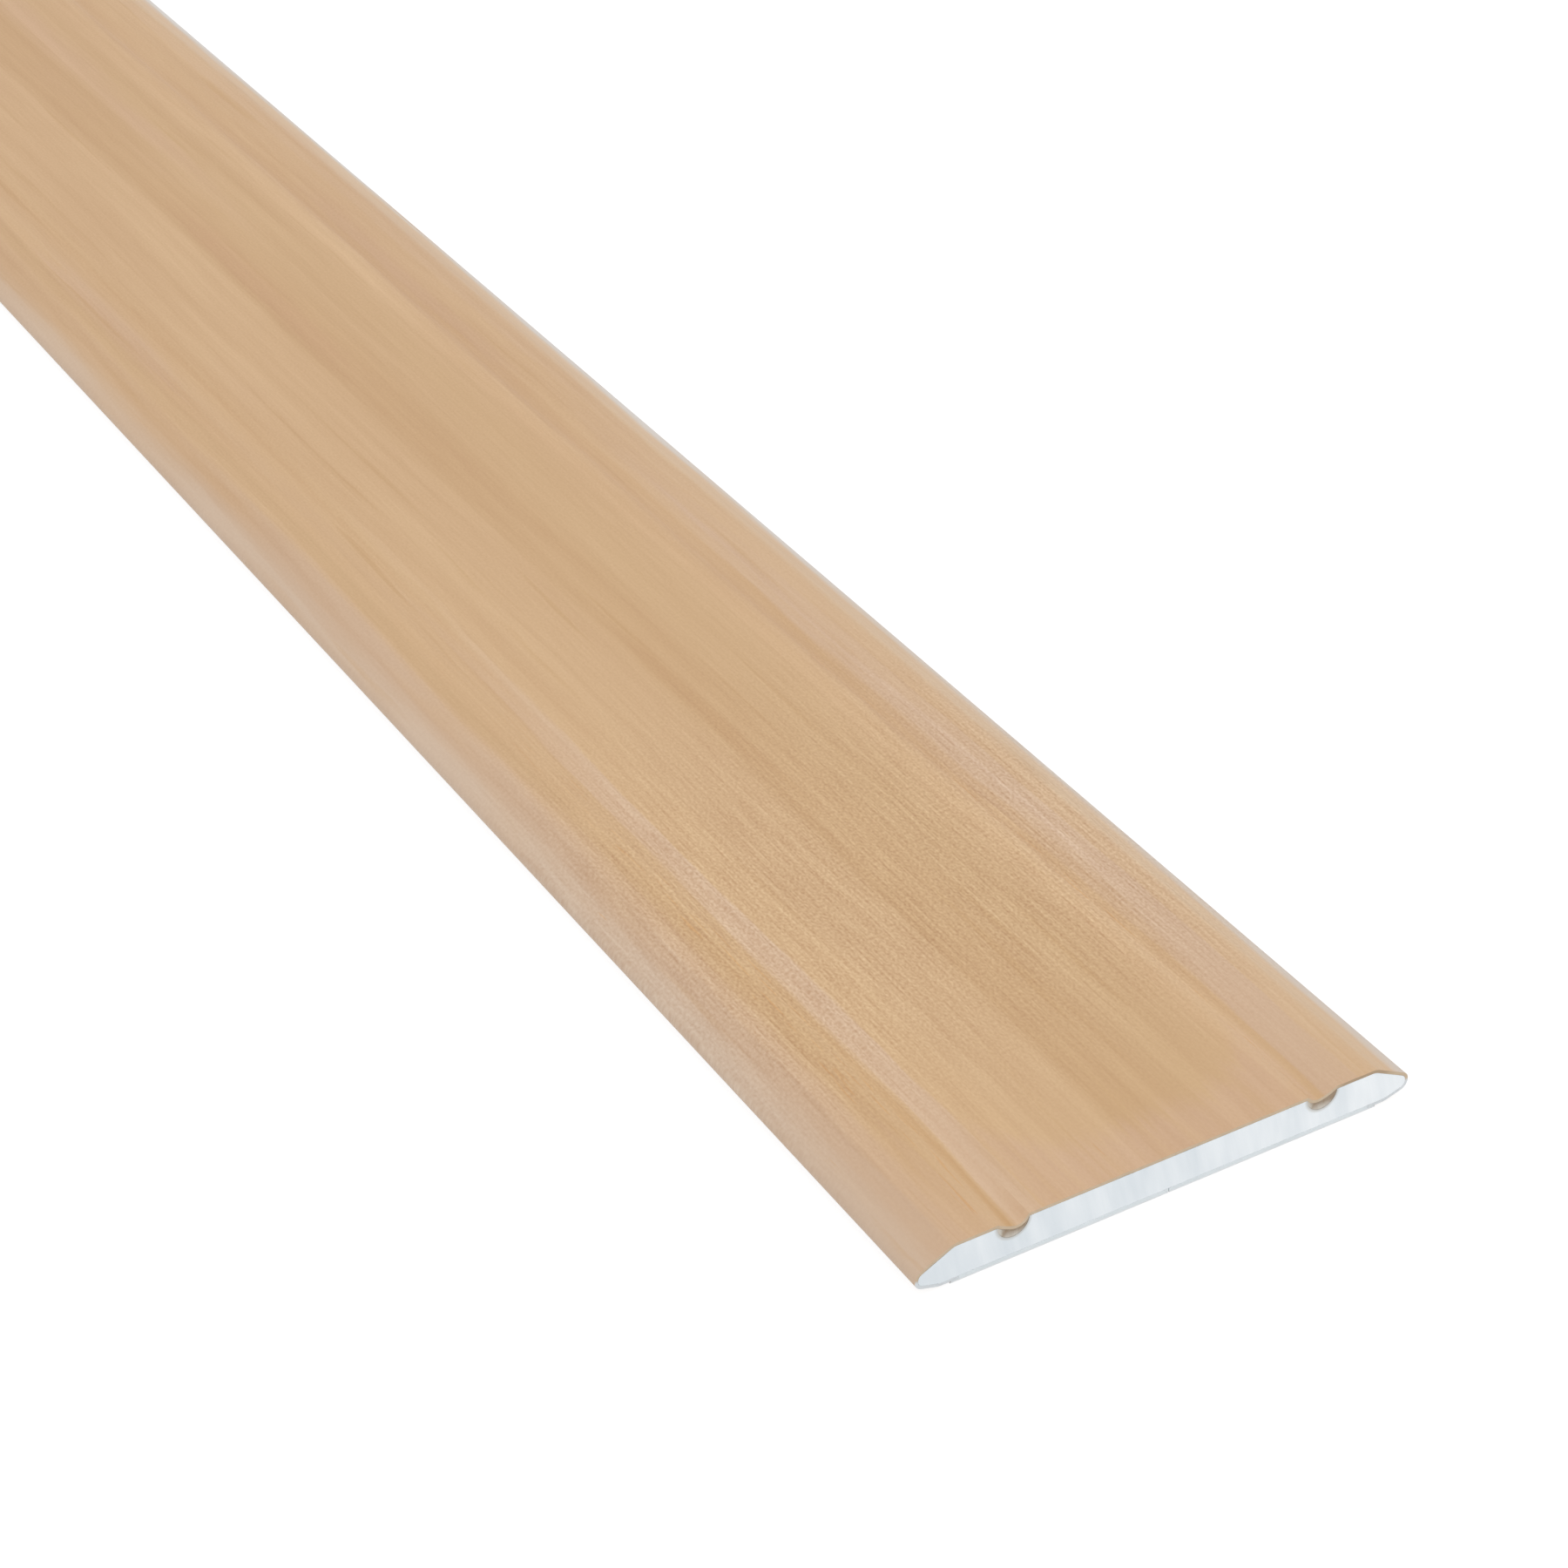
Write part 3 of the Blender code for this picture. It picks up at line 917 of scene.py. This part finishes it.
def wave(x, seed):
    """How far a layer's long edge wavers inwards at x."""
    return LAYER_WAVE * abs(noise.noise((x / LAYER_WAVE_PITCH, seed, 0.0)))


def rounded(corners, radius):
    """The corners of a thin layer's outline, each cut off at radius."""
    path = []
    for index, corner in enumerate(corners):
        corner = Vector(corner)
        for other in (corners[index - 1], corners[(index + 1) % len(corners)]):
            path.append(corner + (Vector(other) - corner).normalized() * radius)
    return path


def liner_corners(x, seed):
    """The rear liner's corners across the strip, its long edges wavering a little."""
    low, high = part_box("release_liner_rear")
    left = low.y + wave(x, seed)
    right = high.y - wave(x, seed + 9)
    return [(left, low.z), (right, low.z), (right, high.z), (left, high.z)]


def tape_corners(x, seed):
    """The rear tape's corners: out to the foil's edge, and squeezed a little way under its lap."""
    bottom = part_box("release_liner_rear")[1].z
    foil_edge = BAR_HIGH.y - UNDERCUT_WIDTH - FOIL_LAP - SQUEEZE_GAP
    lip = foil_edge + TAPE_LIP - wave(x, seed)
    under_foil = FOIL_LOW.z - SQUEEZE_GAP
    top = BAR_LOW.z - SQUEEZE_GAP
    return [
        (TAPE_SEAM, bottom),
        (lip, bottom),
        (lip, under_foil),
        (foil_edge, under_foil),
        (foil_edge, top),
        (TAPE_SEAM, top),
    ]


def build_layer(layer, node, side, corners_at, material, slot, seed):
    """A tape or a liner, cut off with the strip, in the place of its solid."""
    name = f"{layer}_{side}"
    rings = []
    for x in stations():
        path = on_side(side, rounded(corners_at(x, seed), LAYER_ROUND))
        rings.append([(x, point.x, point.y) for point in path])
    add_piece(name, lofted(name, rings, material), slot, f"{node}_{side}")


def build_underside():
    tape, liner = tape_material(), liner_material()
    for seed, side in enumerate(("front", "rear")):
        build_layer("tape", "adhesive_tape", side, tape_corners, tape, "tape_adhesive", seed)
        build_layer("liner", "release_liner", side, liner_corners, liner, "liner_film", seed + 4)


def dress_bar():
    """The bar stays as packed, in sawn and drawn aluminium."""
    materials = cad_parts["aluminium_bar"].data.materials
    materials.clear()
    materials.append(bar_material())


# ---------------------------------------------------------------- the studio


def blended(g, factor, first, second):
    mixed = g.node("ShaderNodeMixShader")
    for index, value in enumerate((factor, first, second)):
        g.put(mixed, str(index), value)
    return mixed


def floor_material():
    """White floor: it lights the strip as a pale floor does, and looks white itself but for a soft shadow."""
    material = bpy.data.materials.new("floor_white")
    material.use_nodes = True
    g = Graph(material.node_tree)
    rays = g.node("ShaderNodeLightPath").outputs
    matt = g.node("ShaderNodeBsdfDiffuse", Color=FLOOR_WHITE)
    shade = g.node("ShaderNodeBsdfDiffuse", Color=FLOOR_SHADE)
    glow = g.node("ShaderNodeEmission", Color=WHITE, Strength=FLOOR_GLOW)
    white = g.node("ShaderNodeEmission", Color=WHITE, Strength=1.0)
    seen = g.node("ShaderNodeAddShader")
    g.put(seen, "0", shade)
    g.put(seen, "1", glow)
    to_camera = blended(g, rays["Is Camera Ray"], matt, seen)
    mirrored = g.math("MAXIMUM", rays["Is Glossy Ray"], rays["Is Transmission Ray"])
    g.node("ShaderNodeOutputMaterial", Surface=blended(g, mirrored, to_camera, white))
    return material


def build_floor():
    reach = FLOOR_REACH
    corners = [(-reach, -reach, 0), (reach, -reach, 0), (reach, reach, 0), (-reach, reach, 0)]
    mesh = bpy.data.meshes.new("floor")
    mesh.from_pydata(corners, [], [(0, 1, 2, 3)])
    mesh.materials.append(floor_material())
    floor = bpy.data.objects.new("floor", mesh)
    floor.location.z = -FLOOR_DROP
    bpy.context.scene.collection.objects.link(floor)


def build_world():
    """A pale sky that looks white to the camera."""
    world = bpy.data.worlds.new("studio")
    bpy.context.scene.world = world
    world.use_nodes = True
    g = Graph(world.node_tree)
    rays = g.node("ShaderNodeLightPath").outputs
    sky = g.node("ShaderNodeBackground", Color=SKY_COLOUR, Strength=SKY_STRENGTH)
    white = g.node("ShaderNodeBackground", Color=WHITE, Strength=1.0)
    g.node("ShaderNodeOutputWorld", Surface=blended(g, rays["Is Camera Ray"], sky, white))


def build_lights():
    """Area lights that face the strip's middle."""
    for name, location, size, power in SOFTBOXES:
        data = bpy.data.lights.new(name, "AREA")
        data.shape = "RECTANGLE"
        data.size, data.size_y = size
        data.energy = power
        light = bpy.data.objects.new(name, data)
        light.location = location
        light.rotation_euler = (-Vector(location)).to_track_quat("-Z", "Y").to_euler()
        bpy.context.scene.collection.objects.link(light)


def build_camera():
    data = bpy.data.cameras.new("camera")
    data.lens = LENS_MM
    data.sensor_width = SENSOR_MM
    data.clip_start = CAMERA_CLIP
    camera = bpy.data.objects.new("camera", data)
    turned = Matrix((CAMERA_RIGHT, CAMERA_UP, CAMERA_RIGHT.cross(CAMERA_UP))).transposed()
    place = Matrix.Translation((END_X + CAMERA_PAST_END, CAMERA_Y, CAMERA_Z))
    camera.matrix_world = place @ turned.to_4x4()
    bpy.context.scene.collection.objects.link(camera)
    bpy.context.scene.camera = camera


def main():
    bpy.context.scene.view_settings.view_transform = "Standard"
    build_camera()
    build_world()
    build_floor()
    build_lights()
    build_foil()
    dress_bar()
    glue = glue_material()
    build_glue("front", glue)
    build_glue("rear", glue)
    build_underside()


main()
